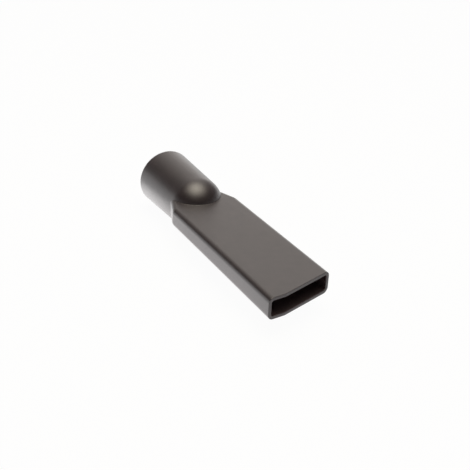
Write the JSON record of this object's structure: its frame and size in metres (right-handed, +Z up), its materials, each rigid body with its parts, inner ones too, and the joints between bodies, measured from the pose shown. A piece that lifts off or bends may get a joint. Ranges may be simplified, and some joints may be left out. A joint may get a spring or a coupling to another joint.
{
  "type": "flat vacuum nozzle",
  "caption": "Dark one-piece flat vacuum nozzle: round socket for the pipe, domed end and a flat duct with a partly slanted open mouth.",
  "frame": {"origin": "centre of the mouth of the straight pipe seat, on the nozzle's axis; the socket's rim is 0.8 mm further out", "axes": "+Y along the pipe's axis and out of the socket, so the flat mouth faces -Y; +Z up, square to the flat duct; +X to the side on which the mouth falls back"},
  "size_m": [0.0503, 0.1877, 0.04],
  "materials": {
    "plastic": "fine satin grain, dark grey to black"
  },
  "bodies": {
    "root": {"nozzle": "plastic"}
  },
  "joints": []
}
